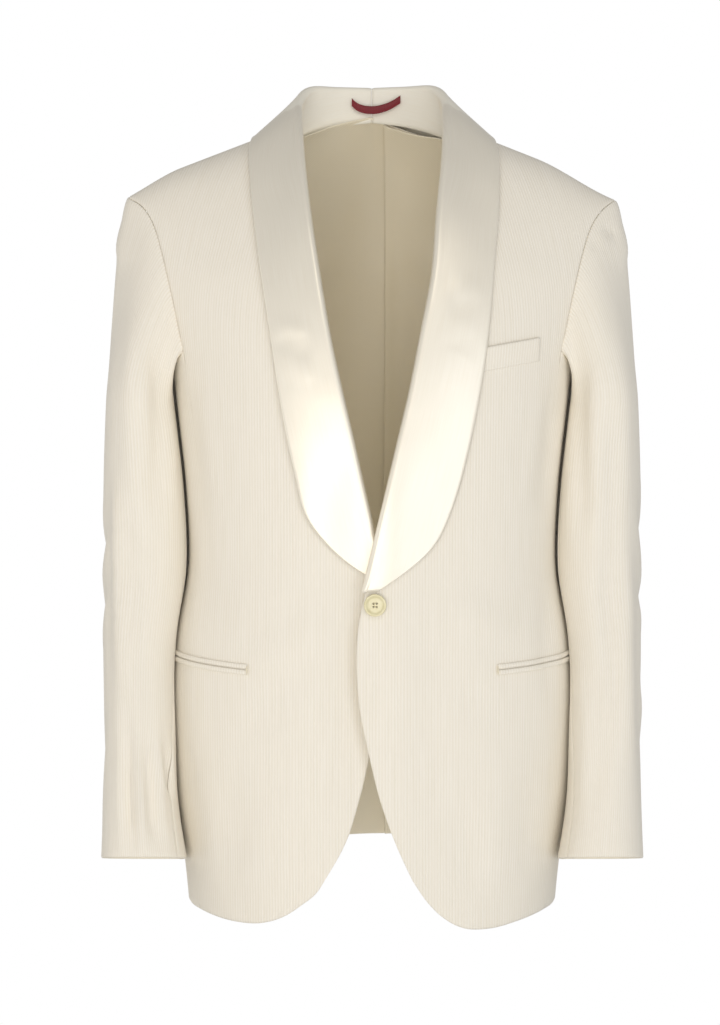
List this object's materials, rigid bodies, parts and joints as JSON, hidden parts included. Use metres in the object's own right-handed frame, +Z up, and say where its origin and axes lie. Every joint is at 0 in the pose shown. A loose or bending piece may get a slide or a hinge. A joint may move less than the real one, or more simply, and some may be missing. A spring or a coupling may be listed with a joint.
{
  "type": "shawl-collar dinner jacket (tuxedo jacket)",
  "caption": "Ivory ribbed-silk dinner jacket with a satin shawl collar, one fastened button, a chest welt and jetted hip pockets, hollow and filled out as worn.",
  "frame": {"origin": "middle of the neck, level with the neck ends of the shoulder seams, where the shoulders hold the jacket up", "axes": "+Z up, the jacket's front faces -Y, the wearer's left is at +X"},
  "size_m": [0.526, 0.2992, 0.8065],
  "materials": {
    "silk": "fine vertical rib, soft sheen",
    "satin": "smooth satin",
    "lining": "smooth lining twill",
    "button": "polished",
    "tape": "woven tape"
  },
  "bodies": {
    "root": {"front_left": "silk", "front_right": "silk", "side_left": "silk", "side_right": "silk", "back_left": "silk", "back_right": "silk", "upper_sleeve_left": "silk", "upper_sleeve_right": "silk", "under_sleeve_left": "silk", "under_sleeve_right": "silk", "chest_welt": "silk", "hip_jet_upper_left": "silk", "hip_jet_lower_left": "silk", "hip_jet_upper_right": "silk", "hip_jet_lower_right": "silk", "shawl_left": "satin", "shawl_right": "satin", "lining_left": "lining", "lining_right": "lining", "button": "button", "hanger_loop": "tape"}
  },
  "joints": []
}
